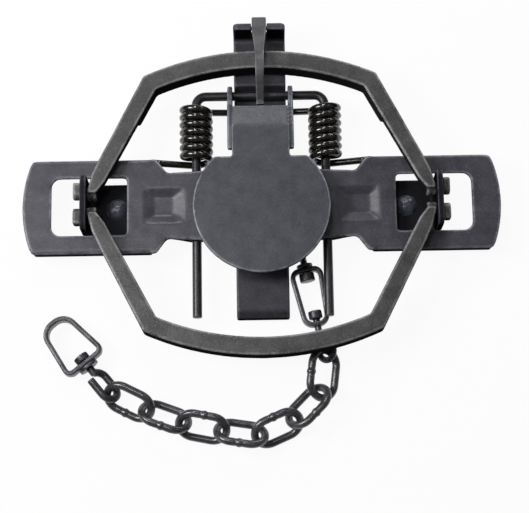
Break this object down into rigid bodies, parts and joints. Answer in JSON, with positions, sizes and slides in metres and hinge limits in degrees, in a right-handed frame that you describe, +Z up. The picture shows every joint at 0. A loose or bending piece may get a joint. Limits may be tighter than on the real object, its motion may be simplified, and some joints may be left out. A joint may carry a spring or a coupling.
{
  "type": "leghold trap",
  "caption": "Set foothold trap: bowed cast jaws on riveted posts, sprung window levers, round trigger pan, dog, swivels and welded chain.",
  "frame": {"origin": "centre of the base bar's underside, on the ground", "axes": "+X through the two jaw posts, +Y towards the dog, +Z up from the ground"},
  "size_m": [0.2432, 0.2206, 0.0344],
  "materials": {
    "frame_steel": "dark dipped strip steel",
    "rivet_steel": "grey round-head rivets",
    "rod_steel": "dark round rod",
    "spring_steel": "black-brown oiled spring wire",
    "lever_steel": "blue-grey dipped pressed steel",
    "jaw_iron": "matt dark grey casting",
    "dog_iron": "matt dark grey casting",
    "pan_steel": "blue-grey dipped pressed steel",
    "swivel_steel": "dark oiled forging",
    "washer_steel": "dull steel washer",
    "chain_steel": "dark gunmetal welded chain"
  },
  "bodies": {
    "frame": {"base_bar": "frame_steel", "cross_bar": "frame_steel", "jaw_post_left": "frame_steel", "jaw_post_right": "frame_steel", "rivet_left": "rivet_steel", "rivet_right": "rivet_steel", "rivet_centre": "rivet_steel", "spring_rod": "rod_steel", "spring_left": "spring_steel", "spring_right": "spring_steel", "dog_pin": "rivet_steel"},
    "jaw_dog_side": {"jaw_dog_side": "jaw_iron"},
    "jaw_loose": {"jaw_loose": "jaw_iron"},
    "lever_left": {"lever_left": "lever_steel"},
    "lever_right": {"lever_right": "lever_steel"},
    "dog": {"dog": "dog_iron"},
    "pan": {"pan": "pan_steel"},
    "upper_eye": {"upper_eye_pin": "swivel_steel", "upper_washer": "washer_steel"},
    "yoke": {"centre_yoke": "swivel_steel"},
    "lower_eye": {"lower_eye_pin": "swivel_steel"},
    "link_1": {"link_1": "chain_steel"},
    "link_2": {"link_2": "chain_steel"},
    "link_3": {"link_3": "chain_steel"},
    "link_4": {"link_4": "chain_steel"},
    "link_5": {"link_5": "chain_steel"},
    "link_6": {"link_6": "chain_steel"},
    "link_7": {"link_7": "chain_steel"},
    "end_eye": {"end_eye_pin": "swivel_steel", "end_washer": "washer_steel"},
    "end_loop": {"end_loop": "swivel_steel"}
  },
  "joints": [
    {"name": "jaw_dog_side_close", "type": "hinge", "parent": "frame", "child": "jaw_dog_side", "pos_m": [0, 0.0054, 0.02], "axis": [1, 0, 0], "range_deg": [0, 88]},
    {"name": "jaw_loose_close", "type": "hinge", "parent": "frame", "child": "jaw_loose", "pos_m": [0, -0.0054, 0.02], "axis": [-1, 0, 0], "range_deg": [0, 88]},
    {"name": "lever_left_rise", "type": "hinge", "parent": "frame", "child": "lever_left", "pos_m": [-0.0332, 0, 0.0104], "axis": [0, 1, 0], "range_deg": [0, 25], "deforming": ["spring_left"]},
    {"name": "lever_right_rise", "type": "hinge", "parent": "frame", "child": "lever_right", "pos_m": [0.0332, 0, 0.0104], "axis": [0, -1, 0], "range_deg": [0, 25], "deforming": ["spring_right"]},
    {"name": "dog_flip", "type": "hinge", "parent": "frame", "child": "dog", "pos_m": [0, 0.09175, 0.023], "axis": [-1, 0, 0], "range_deg": [0, 208]},
    {"name": "pan_tilt", "type": "hinge", "parent": "frame", "child": "pan", "pos_m": [0, 0.0593, 0.0104], "axis": [1, 0, 0], "range_deg": [0, 5]},
    {"name": "swivel_swing", "type": "hinge", "parent": "frame", "child": "upper_eye", "pos_m": [0.019, -0.01828, 0.006], "axis": [0, 0, 1], "range_deg": [-1, 6]},
    {"name": "yoke_turn", "type": "hinge", "parent": "upper_eye", "child": "yoke", "pos_m": [0.0198, -0.0224, 0.0042], "axis": [0.1908, -0.9816, 0], "range_deg": [-6, 6]},
    {"name": "lower_eye_turn", "type": "hinge", "parent": "yoke", "child": "lower_eye", "pos_m": [0.0198, -0.0224, 0.0042], "axis": [0.1908, -0.9816, 0], "range_deg": [-6, 6]},
    {"name": "link_1_swing", "type": "hinge", "parent": "lower_eye", "child": "link_1", "pos_m": [0.03071, -0.07672, 0.0076], "axis": [0, 0, 1], "range_deg": [-6, 10]},
    {"name": "link_2_swing", "type": "hinge", "parent": "link_1", "child": "link_2", "pos_m": [0.02832, -0.09567, 0.0076], "axis": [0, 0, -1], "range_deg": [-10, 10]},
    {"name": "link_3_swing", "type": "hinge", "parent": "link_2", "child": "link_3", "pos_m": [0.01486, -0.10922, 0.0076], "axis": [0, 0, 1], "range_deg": [-10, 10]},
    {"name": "link_4_swing", "type": "hinge", "parent": "link_3", "child": "link_4", "pos_m": [-0.00265, -0.11683, 0.0076], "axis": [0, 0, -1], "range_deg": [-10, 10]},
    {"name": "link_5_swing", "type": "hinge", "parent": "link_4", "child": "link_5", "pos_m": [-0.02152, -0.11385, 0.0076], "axis": [0, 0, 1], "range_deg": [-10, 10]},
    {"name": "link_6_swing", "type": "hinge", "parent": "link_5", "child": "link_6", "pos_m": [-0.04063, -0.10996, 0.0076], "axis": [0, 0, -1], "range_deg": [-10, 10]},
    {"name": "link_7_swing", "type": "hinge", "parent": "link_6", "child": "link_7", "pos_m": [-0.05892, -0.10319, 0.0076], "axis": [0, 0, 1], "range_deg": [-10, 10]},
    {"name": "end_eye_swing", "type": "hinge", "parent": "link_7", "child": "end_eye", "pos_m": [-0.07632, -0.0944, 0.0076], "axis": [0, 0, -1], "range_deg": [-10, 10]},
    {"name": "end_loop_turn", "type": "hinge", "parent": "end_eye", "child": "end_loop", "pos_m": [-0.07671, -0.09471, 0.0075], "axis": [-0.6293, 0.7771, 0], "continuous": true}
  ],
  "couplings": [
    {"joint": "jaw_loose_close", "follows": "jaw_dog_side_close", "ratio": 1},
    {"joint": "lever_left_rise", "follows": "jaw_dog_side_close", "ratio": 0.28},
    {"joint": "lever_right_rise", "follows": "jaw_dog_side_close", "ratio": 0.28},
    {"joint": "dog_flip", "follows": "jaw_dog_side_close", "ratio": 2.36},
    {"joint": "lower_eye_turn", "follows": "yoke_turn", "ratio": -1}
  ]
}
